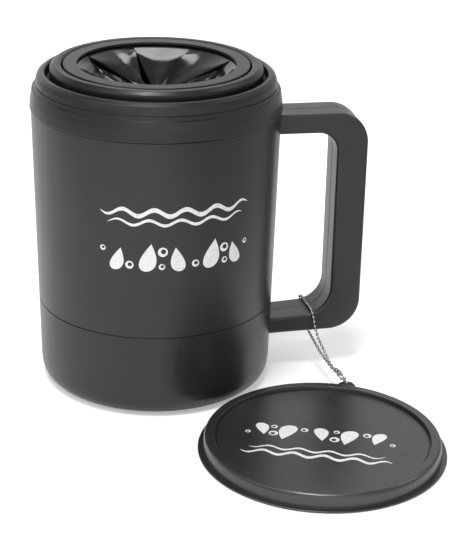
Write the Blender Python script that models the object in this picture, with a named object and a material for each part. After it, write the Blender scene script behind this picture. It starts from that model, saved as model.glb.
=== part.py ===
"""Paw washer cup: a handled mug with a slitted rubber mouth, soft brushes inside and a tethered lid.

Metres, +Z up.  The origin is the centre of the base pad's underside, the mug's axis is +Z and
the handle points to +X.  The lid lies on the table beside the mug, joined to the handle's lower
arm by a ball chain.
"""
import math

import bmesh
import bpy
from mathutils import Matrix, Vector

MM = 0.001

# Driving dimensions, in millimetres
SEGMENTS = 56              # sides of the visible turned pieces
INNER_SEGMENTS = 40        # sides of the hidden turned pieces
GAP = 0.3                  # clearance between neighbouring pieces

SEAM_Z = 56.2              # where the boot ends and the bare wall starts
SEAM_R = 77.4              # outer radius at the seam
COLLAR_Z = 185.0           # underside of the collar
DRAFT = 0.0202             # outward slope of the wall, radius per height
BOOT_T = 2.1               # wall of the boot

PAD_R = 66.0
PAD_T = 2.4

HANDLE_W = 28.9            # across the grip
HANDLE_OUT = 138.0         # outer face of the grip from the mug's axis
HANDLE_IN = 117.3          # inner face of the grip
ARM_TOP = (166.2, 179.4)   # upper arm, underside and top
ARM_LOW = (25.1, 36.6)     # lower arm, underside and top
ARM_LOW_RISE = 0.0331      # the lower arm climbs a little towards the grip
EDGE_R = 3.0               # rounding along the handle's long edges

HINGE_R = 50.0             # root of each rubber petal
HINGE_Z = 207.6
PETALS = 8
PETAL_T = 1.2
PETAL_DROP = 15.0
PETAL_TIP_R = 4.5
FIRST_SLIT = 10.0          # direction of one slit, degrees

LINER_R = (65.0, 67.4)
LINER_Z = (7.8, 192.6)
PANELS = 6
PANEL_Z = (22.0, 170.0)
BRISTLE_L = 20.4

LID_X, LID_Y = 85.1, -131.2
EAR_DIR = 64.8             # direction of the lid's chain ear, degrees
EAR_W = 11.6
EAR_R = (72.0, 85.0)
EAR_Z = (2.3, 6.9)         # height of the ear's middle at its two ends
EAR_T = 2.4
EAR_HOLE_R = 81.0          # how far out the hole lies
EAR_HOLE = 2.6

CHAIN_R = 1.1
CLASP_R = 1.7


def wall_r(z):
    """Outer radius of the drafted wall at a height."""
    return SEAM_R + DRAFT * (z - SEAM_Z)


def clear_scene():
    for ob in list(bpy.data.objects):
        bpy.data.objects.remove(ob, do_unlink=True)


def material(name, rgb, roughness, metallic=0.0):
    mat = bpy.data.materials.new(name)
    mat.use_nodes = True
    bsdf = mat.node_tree.nodes["Principled BSDF"]
    bsdf.inputs["Base Color"].default_value = (*rgb, 1.0)
    bsdf.inputs["Roughness"].default_value = roughness
    bsdf.inputs["Metallic"].default_value = metallic
    mat.diffuse_color = (*rgb, 1.0)
    return mat


def link(name, data, mat, location=(0, 0, 0), turn=0.0):
    """An object for a mesh or curve, placed in millimetres and turned about Z in degrees."""
    ob = bpy.data.objects.new(name, data)
    bpy.context.scene.collection.objects.link(ob)
    if mat is not None and not data.materials:
        data.materials.append(mat)
    ob.location = Vector(location) * MM
    ob.rotation_euler = (0, 0, math.radians(turn))
    return ob


def finish_mesh(name, bm, smooth=True, angle=35):
    """Weld, face outwards, scale to metres and hand over a bmesh as a mesh."""
    bmesh.ops.remove_doubles(bm, verts=bm.verts, dist=1e-4)
    bmesh.ops.scale(bm, vec=(MM, MM, MM), verts=bm.verts)
    bmesh.ops.recalc_face_normals(bm, faces=bm.faces)
    mesh = bpy.data.meshes.new(name)
    bm.to_mesh(mesh)
    bm.free()
    if smooth:
        mesh.shade_smooth()
        mesh.set_sharp_from_angle(angle=math.radians(angle))
    return mesh


def turned(name, profile, mat, segments=SEGMENTS, centre=(0, 0)):
    """A piece turned about Z from a profile of (radius, height) points.

    A profile that starts and ends on the axis closes there; any other one closes on itself.
    """
    bm = bmesh.new()
    verts = [bm.verts.new((r, 0, z)) for r, z in profile]
    edges = [bm.edges.new(pair) for pair in zip(verts, verts[1:])]
    if profile[0][0] > 0:
        edges.append(bm.edges.new((verts[-1], verts[0])))
    bmesh.ops.spin(bm, geom=verts + edges, cent=(0, 0, 0), axis=(0, 0, 1),
                   angle=2 * math.pi, steps=segments, use_merge=True)
    return link(name, finish_mesh(name, bm), mat, (*centre, 0))


def cutter(name, mesh, location=(0, 0, 0), turn=0.0):
    ob = link(name, mesh, None, location, turn)
    ob.hide_render = True
    ob.display_type = "WIRE"
    return ob


def boolean(ob, tool, operation="DIFFERENCE"):
    mod = ob.modifiers.new(tool.name, "BOOLEAN")
    mod.operation = operation
    mod.solver = "EXACT"
    mod.object = tool


def grid_solid(rows_top, rows_low):
    """A closed body between two matching grids of points, top and underside."""
    bm = bmesh.new()
    top = [[bm.verts.new(p) for p in row] for row in rows_top]
    low = [[bm.verts.new(p) for p in row] for row in rows_low]
    n, m = len(top), len(top[0])
    for i in range(n - 1):
        for j in range(m - 1):
            bm.faces.new((top[i][j], top[i][j + 1], top[i + 1][j + 1], top[i + 1][j]))
            bm.faces.new((low[i][j], low[i + 1][j], low[i + 1][j + 1], low[i][j + 1]))
    rim = ([(0, j) for j in range(m)] + [(i, m - 1) for i in range(1, n)]
           + [(n - 1, j) for j in range(m - 2, -1, -1)] + [(i, 0) for i in range(n - 2, 0, -1)])
    for (i, j), (k, l) in zip(rim, rim[1:] + rim[:1]):
        bm.faces.new((top[i][j], low[i][j], low[k][l], top[k][l]))
    return bm


# ---------------------------------------------------------------- mug

def build_mug():
    """The drafted inner cup, stepped in where the boot and the collar sit on it."""
    black = material("mug_wall", (0.030, 0.030, 0.032), 0.42)
    inset = BOOT_T + GAP
    profile = [
        (0, 4.8), (68.0, 4.8), (70.2, 5.6), (72.0, 7.6), (73.0, 10.2), (wall_r(14) - inset, 14.0),
        (wall_r(SEAM_Z) - inset, SEAM_Z), (wall_r(SEAM_Z), SEAM_Z),
        (wall_r(COLLAR_Z - GAP), COLLAR_Z - GAP), (76.6, COLLAR_Z - GAP), (76.6, 196.2),
        (75.0, 196.2), (74.6, 60.0), (72.2, 54.0), (71.4, 12.0), (71.0, 8.4), (70.0, 7.4), (0, 7.4),
    ]
    return turned("mug_body", profile, black)


def build_boot():
    """The flush lower shell, notched round the handle's lower arm."""
    black = material("boot", (0.026, 0.026, 0.028), 0.48)
    top = SEAM_Z - GAP
    profile = [
        (0, 2.7), (PAD_R + GAP, 2.7), (PAD_R + GAP, 1.5), (69.6, 1.5), (71.8, 2.2), (73.8, 3.9),
        (75.3, 6.3), (76.1, 9.2), (wall_r(14), 14.0), (wall_r(top), top),
        (wall_r(top) - BOOT_T, top), (wall_r(14) - BOOT_T, 14.0), (73.3, 9.8), (72.2, 7.2),
        (70.4, 5.2), (68.2, 4.5), (0, 4.5),
    ]
    boot = turned("base_boot", profile, black)
    bm = bmesh.new()
    bmesh.ops.create_cube(bm, size=1.0)
    z_low, z_high = ARM_LOW[0] - 0.4, ARM_LOW[1] + 0.4
    bmesh.ops.scale(bm, vec=(14, HANDLE_W + 0.8, z_high - z_low), verts=bm.verts)
    bmesh.ops.translate(bm, vec=(77, 0, (z_low + z_high) / 2), verts=bm.verts)
    along_x = [e for e in bm.edges if abs(e.verts[0].co.x - e.verts[1].co.x) > 1]
    bmesh.ops.bevel(bm, geom=along_x, offset=EDGE_R, offset_type="OFFSET", segments=3,
                    profile=0.5, affect="EDGES")
    boolean(boot, cutter("arm_notch", finish_mesh("arm_notch", bm, smooth=False)))
    return boot


def build_pad():
    rubber = material("pad_rubber", (0.015, 0.015, 0.015), 0.8)
    profile = [(0, 0), (PAD_R - 0.8, 0), (PAD_R, 0.8), (PAD_R, PAD_T), (0, PAD_T)]
    return turned("base_pad", profile, rubber, INNER_SEGMENTS)


def build_collar():
    """The stepped collar that caps the mug's rim and carries the splash ring."""
    black = material("collar", (0.028, 0.028, 0.030), 0.36)
    profile = [
        (76.9, COLLAR_Z), (80.3, COLLAR_Z), (80.7, 185.5), (80.4, 195.0), (79.6, 196.9),
        (78.2, 197.9), (77.6, 198.3), (77.4, 200.6), (76.9, 201.1), (76.3, 204.0), (75.2, 206.2),
        (73.4, 207.7), (71.6, 208.0), (70.6, 207.3), (70.6, 196.5), (76.9, 196.5),
    ]
    return turned("collar_ring", profile, black)


# ---------------------------------------------------------------- mouth

def build_mouth():
    """The lift-out splash ring with its gasket, diaphragm rim and clamp bezel."""
    black = material("splash_ring", (0.024, 0.024, 0.026), 0.34)
    turned("splash_ring", [
        (67.6, 210.6), (66.9, 212.2), (65.3, 212.9), (62.0, 212.9), (60.4, 212.3), (59.8, 211.0),
        (59.8, 206.2), (52.6, 206.2), (52.6, 203.6), (63.8, 203.6), (64.4, 193.0), (67.0, 193.0),
        (67.2, 204.6), (67.7, 206.2),
    ], black)
    seal = material("ring_seal", (0.02, 0.02, 0.02), 0.65)
    turned("ring_seal", [
        (67.5, 199.6), (67.9, 198.8), (69.8, 198.8), (70.3, 199.8), (70.3, 202.4), (69.8, 203.4),
        (67.9, 203.4), (67.5, 202.6),
    ], seal, INNER_SEGMENTS)
    rubber = material("diaphragm_rim", (0.012, 0.012, 0.013), 0.22)
    turned("diaphragm_rim", [(50.7, 206.6), (59.4, 206.6), (59.4, 208.3), (50.7, 208.3)],
           rubber, INNER_SEGMENTS)
    bezel = material("bezel", (0.026, 0.026, 0.028), 0.32)
    turned("clamp_bezel", [
        (51.2, 208.7), (59.4, 208.7), (59.4, 211.2), (58.6, 212.4), (57.0, 212.9), (53.6, 212.9),
        (51.4, 212.4), (50.6, 211.4), (50.6, 209.6),
    ], bezel)


def petal_height(t):
    """Height of a petal's middle surface, t from 0 at the root to 1 at the tip."""
    return HINGE_Z - PETAL_DROP * (0.75 * t + 0.25 * t * t * (3 - 2 * t))


def petal_mesh():
    """One wedge of the funnel, with its origin on its root hinge."""
    rings, across = 7, 4
    root_r = HINGE_R - 0.3
    top, low = [], []
    for i in range(rings + 1):
        t = i / rings
        r = root_r + (PETAL_TIP_R - root_r) * t
        half = math.radians(180 / PETALS) - math.asin(0.4 / r)
        z = petal_height(t) - HINGE_Z
        row = [half * (2 * j / across - 1) for j in range(across + 1)]
        flat = [(r * math.cos(a) - HINGE_R, r * math.sin(a)) for a in row]
        top.append([(x, y, z + PETAL_T / 2) for x, y in flat])
        low.append([(x, y, z - PETAL_T / 2) for x, y in flat])
    return finish_mesh("petal", grid_solid(top, low), angle=50)


def build_petals():
    """Eight rubber petals, each its own piece hinged at the diaphragm's rim."""
    mesh = petal_mesh()
    rubber = material("petal_rubber", (0.010, 0.010, 0.011), 0.18)
    for k in range(PETALS):
        turn = FIRST_SLIT + (k + 0.5) * 360 / PETALS
        a = math.radians(turn)
        link(f"petal_{k + 1}", mesh, rubber,
             (HINGE_R * math.cos(a), HINGE_R * math.sin(a), HINGE_Z), turn)


# ---------------------------------------------------------------- brushes

def raise_tufts(bm, faces, height):
    """Shrink each chosen face to a root and pull it out, leaving the backing joined."""
    for face in faces:
        bmesh.ops.inset_individual(bm, faces=[face], thickness=2.0)
        tip = bmesh.ops.extrude_face_region(bm, geom=[face])["geom"]
        bmesh.ops.delete(bm, geom=[face], context="FACES_ONLY")
        verts = [g for g in tip if isinstance(g, bmesh.types.BMVert)]
        out = next(g for g in tip if isinstance(g, bmesh.types.BMFace))
        out.normal_update()
        centre = out.calc_center_median()
        bmesh.ops.scale(bm, vec=(0.45,) * 3, space=Matrix.Translation(-centre), verts=verts)
        bmesh.ops.translate(bm, vec=out.normal * height, verts=verts)


def panel_mesh():
    """A curved backing with rows of bristle bundles that point at the mug's axis."""
    rows, cols = 8, 3
    r_back, r_face = LINER_R[0] - GAP, LINER_R[0] - 2.4
    half = math.radians(180 / PANELS) - 0.03
    z_low, z_high = PANEL_Z
    grids = []
    for r in (r_face, r_back):
        grids.append([[(r * math.cos(a), r * math.sin(a), z_low + (z_high - z_low) * i / rows)
                       for a in (half * (2 * j / cols - 1) for j in range(cols + 1))]
                      for i in range(rows + 1)])
    bm = grid_solid(*grids)
    bmesh.ops.recalc_face_normals(bm, faces=bm.faces)
    bm.faces.ensure_lookup_table()
    inner = []
    for face in bm.faces:
        c = face.calc_center_median()
        if face.normal.dot(Vector((c.x, c.y, 0))) < -0.9 * math.hypot(c.x, c.y):
            i = int((c.z - z_low) / (z_high - z_low) * rows)
            j = int((math.atan2(c.y, c.x) + half) / (2 * half) * cols)
            if (i + j) % 2 == 0:
                inner.append(face)
    raise_tufts(bm, inner, BRISTLE_L)
    return finish_mesh("brush_panel", bm, smooth=False)


def build_brushes():
    """The lift-out liner with its brush panels, and the brush on the mug's floor."""
    plastic = material("liner", (0.050, 0.050, 0.053), 0.5)
    (r_in, r_out), (z_low, z_high) = LINER_R, LINER_Z
    turned("brush_liner", [(r_in, z_low), (r_out, z_low), (r_out, z_high), (r_in, z_high)],
           plastic, INNER_SEGMENTS)
    bristle = material("bristle", (0.42, 0.44, 0.45), 0.6)
    mesh = panel_mesh()
    for k in range(PANELS):
        link(f"brush_panel_{k + 1}", mesh, bristle, turn=k * 360 / PANELS)
    build_floor_brush(bristle)


def build_floor_brush(bristle):
    """A square-meshed disc with short bundles that point up."""
    cells, cell = 6, 9.0
    span = cells * cell / 2
    grids = [[[(-span + cell * i, -span + cell * j, z) for j in range(cells + 1)]
              for i in range(cells + 1)] for z in (10.0, 7.9)]
    bm = grid_solid(*grids)
    bmesh.ops.recalc_face_normals(bm, faces=bm.faces)
    top = [f for f in bm.faces if f.normal.z > 0.9]
    chosen = [f for f in top
              if round((f.calc_center_median().x + f.calc_center_median().y) / cell) % 2 == 0]
    raise_tufts(bm, chosen, 13.0)
    link("floor_brush", finish_mesh("floor_brush", bm, smooth=False), bristle)


# ---------------------------------------------------------------- handle

def arc(cx, cz, radius, start, stop, steps):
    """Points on an arc in the XZ plane, angles in degrees."""
    return [(cx + radius * math.cos(math.radians(start + (stop - start) * i / steps)),
             cz + radius * math.sin(math.radians(start + (stop - start) * i / steps)))
            for i in range(steps + 1)]


def handle_outline():
    """Matching outer and inner edges of the D, from the upper arm's root to the lower's."""
    root = 70.0
    rise = ARM_LOW_RISE * (HANDLE_IN - SEAM_R)
    (up_in, up_out), (low_out, low_in) = (ARM_TOP, ARM_LOW)
    out_r, in_top, in_low, steps = 21.0, 13.0, 19.0, 6
    outer = ([(root, up_out), (95.0, up_out)]
             + arc(HANDLE_OUT - out_r, up_out - out_r, out_r, 90, 0, steps)
             + [(HANDLE_OUT, 120.0), (HANDLE_OUT, 85.0)]
             + arc(HANDLE_OUT - out_r, low_out + rise + out_r, out_r, 0, -90, steps)
             + [(95.0, low_out + rise / 2), (root, low_out)])
    inner = ([(root, up_in), (95.0, up_in)]
             + arc(HANDLE_IN - in_top, up_in - in_top, in_top, 90, 0, steps)
             + [(HANDLE_IN, 120.0), (HANDLE_IN, 85.0)]
             + arc(HANDLE_IN - in_low, low_in + rise + in_low, in_low, 0, -90, steps)
             + [(90.0, low_in + rise / 2), (root, low_in)])
    return outer, inner


def handle_half(name, side, mat):
    """One shell of the D handle; the two meet on the plane y = 0."""
    outer, inner = handle_outline()
    near, far = side * GAP / 2, side * HANDLE_W / 2
    grids = [[[(x, y, z) for x, z in edge] for edge in (outer, inner)] for y in (far, near)]
    bm = grid_solid(*grids)
    bmesh.ops.recalc_face_normals(bm, faces=bm.faces)
    long_edges = [e for e in bm.edges
                  if all(abs(v.co.y - far) < 1e-6 for v in e.verts)
                  and any(abs(f.normal.y) < 0.5 and abs(f.normal.x) + abs(f.normal.z) > 0.5
                          for f in e.link_faces)
                  and not all(abs(v.co.x - 70.0) < 1e-6 for v in e.verts)]
    bmesh.ops.bevel(bm, geom=long_edges, offset=EDGE_R, offset_type="OFFSET", segments=2,
                    profile=0.5, affect="EDGES", clamp_overlap=True)
    return link(name, finish_mesh(name, bm), mat)


def build_handle():
    black = material("handle", (0.045, 0.043, 0.048), 0.38)
    bm = bmesh.new()
    inset = BOOT_T + GAP
    rings = [(-5.0, wall_r(-5) - inset), (SEAM_Z + 2, wall_r(SEAM_Z + 2) - inset),
             (SEAM_Z + 2.5, wall_r(SEAM_Z + 2.5)), (230.0, wall_r(230))]
    verts = [bm.verts.new((0, 0, rings[0][0]))]
    verts += [bm.verts.new((r + GAP, 0, z)) for z, r in rings]
    verts.append(bm.verts.new((0, 0, rings[-1][0])))
    edges = [bm.edges.new(pair) for pair in zip(verts, verts[1:])]
    bmesh.ops.spin(bm, geom=verts + edges, cent=(0, 0, 0), axis=(0, 0, 1),
                   angle=2 * math.pi, steps=SEGMENTS, use_merge=True)
    core = cutter("wall_cut", finish_mesh("wall_cut", bm, smooth=False))
    for name, side in (("handle_front", -1), ("handle_rear", 1)):
        boolean(handle_half(name, side, black), core)


# ---------------------------------------------------------------- lid

def ear_point(r, across, lift):
    """A point of the lid's ear in the lid's frame: along, across and square to the plate."""
    (r0, r1), (z0, z1) = EAR_R, EAR_Z
    slope = math.atan2(z1 - z0, r1 - r0)
    along = Vector((math.cos(slope), 0, math.sin(slope)))
    up = Vector((-math.sin(slope), 0, math.cos(slope)))
    p = Vector((r0, 0, z0)) + along * (r - r0) + up * lift + Vector((0, across, 0))
    return Matrix.Rotation(math.radians(EAR_DIR), 3, "Z") @ p


def build_lid():
    """The shallow lid with its raised, rimmed face and the ear for the chain."""
    black = material("lid", (0.034, 0.034, 0.036), 0.40)
    lid = turned("lid", [
        (0, 5.7), (70.4, 5.7), (71.1, 1.2), (72.0, 0.0), (76.7, 0.0), (77.1, 0.3), (77.1, 0.9),
        (76.7, 1.3), (74.4, 1.3), (73.7, 1.9), (73.2, 7.6), (72.7, 9.1), (71.6, 9.9),
        (67.2, 9.9), (66.6, 9.4), (66.2, 7.7), (0, 7.7),
    ], black, centre=(LID_X, LID_Y))
    half, chamfer, end = EAR_W / 2, 3.0, EAR_R[1]
    edge = [(EAR_R[0], -half), (EAR_R[0], half), (end - chamfer, half), (end, half - chamfer),
            (end, chamfer - half), (end - chamfer, -half)]
    bm = bmesh.new()
    face = bm.faces.new([bm.verts.new(ear_point(r, y, -EAR_T / 2)) for r, y in edge])
    top = bmesh.ops.extrude_face_region(bm, geom=[face])["geom"]
    shift = ear_point(0, 0, EAR_T) - ear_point(0, 0, 0)
    bmesh.ops.translate(bm, vec=shift, verts=[g for g in top if isinstance(g, bmesh.types.BMVert)])
    place = (LID_X, LID_Y, 0)
    boolean(lid, cutter("ear_plate", finish_mesh("ear_plate", bm, smooth=False), place), "UNION")
    bm = bmesh.new()
    bmesh.ops.create_cone(bm, cap_ends=True, segments=12, radius1=EAR_HOLE,
                          radius2=EAR_HOLE, depth=12)
    tilt = math.atan2(EAR_Z[1] - EAR_Z[0], EAR_R[1] - EAR_R[0])
    bmesh.ops.rotate(bm, matrix=Matrix.Rotation(-tilt, 3, "Y"), verts=bm.verts)
    bmesh.ops.rotate(bm, matrix=Matrix.Rotation(math.radians(EAR_DIR), 3, "Z"), verts=bm.verts)
    bmesh.ops.translate(bm, vec=ear_point(EAR_HOLE_R, 0, 0), verts=bm.verts)
    boolean(lid, cutter("ear_hole", finish_mesh("ear_hole", bm, smooth=False), place))
    return lid


# ---------------------------------------------------------------- chain

def smooth_curve(route, spacing):
    """Even points along a Catmull-Rom curve through hand-chosen points."""
    pts = [Vector(p) for p in route]
    pts = [2 * pts[0] - pts[1]] + pts + [2 * pts[-1] - pts[-2]]
    fine = []
    for p0, p1, p2, p3 in zip(pts, pts[1:], pts[2:], pts[3:]):
        for k in range(24):
            t = k / 24
            fine.append(0.5 * (2 * p1 + (p2 - p0) * t + (2 * p0 - 5 * p1 + 4 * p2 - p3) * t * t
                               + (3 * p1 - p0 - 3 * p2 + p3) * t ** 3))
    fine.append(pts[-2])
    total = sum((b - a).length for a, b in zip(fine, fine[1:]))
    count = round(total / spacing)
    even, step, run = [fine[0]], total / count, 0.0
    for a, b in zip(fine, fine[1:]):
        seg = (b - a).length
        while run + seg >= step * len(even) - 1e-9 and len(even) < count:
            even.append(a.lerp(b, (step * len(even) - run) / seg))
        run += seg
    return even + [fine[-1]]


def chain_route():
    """From one end of the clasp over the handle's lower arm, back, and through the ear."""
    under, hole, above = (ear_point(EAR_HOLE_R, 0, lift) + Vector((LID_X, LID_Y, 0))
                          for lift in (-1.6, 0.0, 2.0))
    top, low, front = ARM_LOW[1] + 2.5, ARM_LOW[0] + 0.8, HANDLE_W / 2
    off = CHAIN_R + 0.5
    return [
        (112.6, -50.0, 13.8), (110.6, -43.0, 16.3), (109.3, -31.0, 20.2), (108.3, -20.5, 23.6),
        (107.6, -front - off, low + 1.5), (106.4, -front - off, 31.5),
        (105.2, -front - off * 0.8, top - 1.0), (104.6, -front + 3.0, top + off),
        (104.0, 0.0, top + off), (103.4, front - 3.0, top + off),
        (103.0, front + off * 0.8, top - 1.0), (103.2, front + off, 31.0),
        (103.8, front + off * 0.8, low - 0.6), (104.8, front - 3.5, low - off - 0.6),
        (106.6, -2.0, 19.2), (107.5, -15.0, 17.6), (108.4, -28.0, 16.0), (111.2, -43.0, 13.2),
        (114.6, -48.6, 9.9), (hole.x - 0.8, hole.y + 7.7, hole.z + 1.2),
        (hole.x + 2.0, hole.y + 6.1, hole.z - 1.5), (hole.x + 1.8, hole.y + 3.1, hole.z - 2.8),
        (under.x, under.y, under.z), (above.x, above.y, above.z), (118.0, -57.8, 9.9),
        (116.2, -55.6, 12.2),
    ]


def build_chain():
    steel = material("chain_steel", (0.62, 0.62, 0.60), 0.25, 1.0)
    route = chain_route()
    curve = bpy.data.curves.new("ball_chain", "CURVE")
    curve.dimensions = "3D"
    curve.bevel_depth = CHAIN_R * MM
    curve.bevel_resolution = 2
    curve.use_fill_caps = True
    points = smooth_curve(route, 4.4)
    spline = curve.splines.new("POLY")
    spline.points.add(len(points) - 1)
    for node, p in zip(spline.points, points):
        node.co = (*(p * MM), 1.0)
    link("ball_chain", curve, steel)
    start, end = Vector(route[0]), Vector(route[-1])
    axis = end - start
    length = axis.length - 1.6
    bm = bmesh.new()
    bmesh.ops.create_cone(bm, cap_ends=True, segments=16, radius1=CLASP_R, radius2=CLASP_R,
                          depth=length)
    bmesh.ops.rotate(bm, matrix=axis.to_track_quat("Z", "Y").to_matrix(), verts=bm.verts)
    middle = (start + end) / 2
    link("chain_clasp", finish_mesh("chain_clasp", bm), steel, middle)


clear_scene()
build_mug()
build_boot()
build_pad()
build_collar()
build_mouth()
build_petals()
build_brushes()
build_handle()
build_lid()
build_chain()
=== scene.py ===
"""Looks of the paw washer cup: its shells, rubber petals, bristles, print, lid and ball chain.

Lengths are millimetres, and MM turns them into metres.  +Z is up, the cup's axis is Z, the handle
points to +X and the lid lies at +X -Y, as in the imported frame.
"""
import math
import random

import bmesh
import bpy
from mathutils import Matrix, Vector
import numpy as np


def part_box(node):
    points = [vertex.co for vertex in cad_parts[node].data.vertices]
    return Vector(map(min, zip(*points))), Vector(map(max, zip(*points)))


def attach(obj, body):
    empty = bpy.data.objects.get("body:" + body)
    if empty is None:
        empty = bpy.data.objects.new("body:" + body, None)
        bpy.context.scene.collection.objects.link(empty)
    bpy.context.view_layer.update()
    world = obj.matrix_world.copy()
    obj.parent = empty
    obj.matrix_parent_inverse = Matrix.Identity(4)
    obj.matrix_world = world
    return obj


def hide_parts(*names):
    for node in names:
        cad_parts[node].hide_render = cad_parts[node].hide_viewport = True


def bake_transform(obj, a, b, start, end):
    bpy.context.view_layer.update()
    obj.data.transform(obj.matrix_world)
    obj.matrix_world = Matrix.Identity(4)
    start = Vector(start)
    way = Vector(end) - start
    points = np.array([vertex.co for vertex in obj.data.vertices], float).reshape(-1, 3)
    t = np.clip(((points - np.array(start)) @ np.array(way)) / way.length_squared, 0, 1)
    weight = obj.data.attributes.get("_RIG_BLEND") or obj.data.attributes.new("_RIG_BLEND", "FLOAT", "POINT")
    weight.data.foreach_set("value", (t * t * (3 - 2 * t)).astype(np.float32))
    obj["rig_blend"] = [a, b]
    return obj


MM = 0.001

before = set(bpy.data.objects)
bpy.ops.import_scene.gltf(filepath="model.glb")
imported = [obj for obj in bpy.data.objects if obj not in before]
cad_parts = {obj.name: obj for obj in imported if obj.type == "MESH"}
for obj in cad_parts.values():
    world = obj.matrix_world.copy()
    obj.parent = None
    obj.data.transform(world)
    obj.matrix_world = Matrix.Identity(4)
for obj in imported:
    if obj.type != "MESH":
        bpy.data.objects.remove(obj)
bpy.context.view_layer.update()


def span(node):
    """A node's box in millimetres: (low corner, high corner)."""
    low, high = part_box(node)
    return low / MM, high / MM


def polar(r, angle):
    """A point in a plane by its distance and its angle in radians."""
    return r * math.cos(angle), r * math.sin(angle)


def add_object(name, data):
    ob = bpy.data.objects.new(name, data)
    bpy.context.scene.collection.objects.link(ob)
    return ob


# ---------------- camera

CAMERA_AT = (-145.45, -985.59, 485.23)
CAMERA_HEADING = 11.544    # degrees to the right of +Y
CAMERA_PITCH = -22.551
CAMERA_ROLL = 1.480
CAMERA_LENS = 122.32       # focal length for a sensor SENSOR_W wide
SENSOR_W = 36.0


def make_camera():
    heading, pitch, roll = (math.radians(v) for v in (CAMERA_HEADING, CAMERA_PITCH, CAMERA_ROLL))
    ahead = Vector((math.sin(heading) * math.cos(pitch), math.cos(heading) * math.cos(pitch),
                    math.sin(pitch)))
    level = ahead.cross(Vector((0, 0, 1))).normalized()
    right = Matrix.Rotation(-roll, 3, ahead) @ level
    up = right.cross(ahead)
    data = bpy.data.cameras.new("camera")
    data.sensor_fit = "HORIZONTAL"
    data.sensor_width = SENSOR_W
    data.lens = CAMERA_LENS
    data.clip_start, data.clip_end = 0.01, 50.0
    camera = add_object("camera", data)
    turn = Matrix((right, up, -ahead)).transposed().to_4x4()
    camera.matrix_world = Matrix.Translation(Vector(CAMERA_AT) * MM) @ turn
    bpy.context.scene.camera = camera


# ---------------- node materials

class Nodes:
    """Short calls for building a node tree."""

    def __init__(self, tree):
        self.tree = tree

    def add(self, kind, values=None, **settings):
        """A new node with its settings and some of its sockets' values."""
        node = self.tree.nodes.new(kind)
        for key, value in settings.items():
            setattr(node, key, value)
        for key, value in (values or {}).items():
            node.inputs[key].default_value = value
        return node

    def link(self, source, target):
        self.tree.links.new(source, target)

    def ramp(self, source, low=0.0, high=1.0, at=(0.3, 0.7)):
        """Turn the values of a socket between two limits into another range."""
        node = self.add("ShaderNodeMapRange", {"From Min": at[0], "From Max": at[1],
                                               "To Min": low, "To Max": high})
        self.link(source, node.inputs["Value"])
        return node.outputs["Result"]


class Material(Nodes):
    """Short calls for building one Principled material.  Scales of noise are per metre."""

    def __init__(self, name, **sockets):
        self.mat = bpy.data.materials.new(name)
        self.mat.use_nodes = True
        super().__init__(self.mat.node_tree)
        self.bsdf = self.tree.nodes["Principled BSDF"]
        for key, value in sockets.items():
            self.bsdf.inputs[key.replace("_", " ")].default_value = value
        self.place = self.add("ShaderNodeTexCoord").outputs["Object"]

    def stretched(self, scale):
        node = self.add("ShaderNodeMapping", {"Scale": scale})
        self.link(self.place, node.inputs["Vector"])
        return node.outputs["Vector"]

    def noise(self, scale, detail=3.0, roughness=0.5, vector=None, distortion=0.0):
        node = self.add("ShaderNodeTexNoise", {"Scale": scale, "Detail": detail,
                                               "Roughness": roughness, "Distortion": distortion})
        self.link(vector or self.place, node.inputs["Vector"])
        return node.outputs["Fac"]

    def mix(self, factor, a, b):
        """Mix two colours.  The factor and each colour may be a socket or a plain value."""
        node = self.add("ShaderNodeMix", data_type="RGBA")
        for value, socket in ((factor, node.inputs["Factor"]), (a, node.inputs["A"]),
                              (b, node.inputs["B"])):
            if isinstance(value, bpy.types.NodeSocket):
                self.link(value, socket)
            else:
                socket.default_value = value if isinstance(value, float) else (*value, 1.0)
        return node.outputs["Result"]

    def maths(self, operation, a, b=None):
        node = self.add("ShaderNodeMath", operation=operation)
        for value, socket in zip((a, b), node.inputs):
            if isinstance(value, bpy.types.NodeSocket):
                self.link(value, socket)
            elif value is not None:
                socket.default_value = value
        return node.outputs["Value"]

    def bump(self, height, strength, distance, under=None):
        node = self.add("ShaderNodeBump", {"Strength": strength, "Distance": distance})
        self.link(height, node.inputs["Height"])
        if under is not None:
            self.link(under, node.inputs["Normal"])
        return node.outputs["Normal"]

    def finish(self, colour=None, roughness=None, normal=None):
        for source, key in ((colour, "Base Color"), (roughness, "Roughness"), (normal, "Normal")):
            if source is not None:
                self.link(source, self.bsdf.inputs[key])
        return self.mat


def moulded(name, colour, roughness, grain=0.10, specular=0.5, drift=0.04):
    """Satin moulded plastic: fine spark grain, faint flow streaks, dust, and edges lightened partly as
    rubbed wear and partly as a painted highlight.
    """
    m = Material(name, Specular_IOR_Level=specular)
    slow = m.noise(14.0, 4.0, 0.6)
    streak = m.noise(1.0, 3.0, 0.6, m.stretched((90.0, 90.0, 9.0)))
    dust = m.ramp(m.noise(2600.0, 1.0, 0.5), at=(0.74, 0.80))
    dark = tuple(c * 0.86 for c in colour)
    pale = tuple(min(1.0, c * 1.16 + 0.002) for c in colour)
    base = m.mix(m.ramp(slow), dark, pale)
    base = m.mix(m.maths("MULTIPLY", dust, 0.05), base, (0.30, 0.30, 0.29))
    # Pointiness lightens the edges: partly rubbed wear, partly a painted highlight along the rounded edges.
    edge = m.ramp(m.add("ShaderNodeNewGeometry").outputs["Pointiness"], 0.0, 0.35, (0.53, 0.62))
    base = m.mix(edge, base, tuple(c * 1.8 + 0.003 for c in colour))
    rough = m.maths("ADD", m.ramp(streak, roughness - drift, roughness + drift),
                    m.maths("MULTIPLY", dust, 0.12))
    fine = m.bump(m.noise(1700.0, 2.0, 0.6), grain, 0.00006)
    broad = m.bump(m.noise(60.0, 2.0, 0.5), 0.05, 0.0004, fine)
    return m.finish(base, rough, broad)


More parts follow.
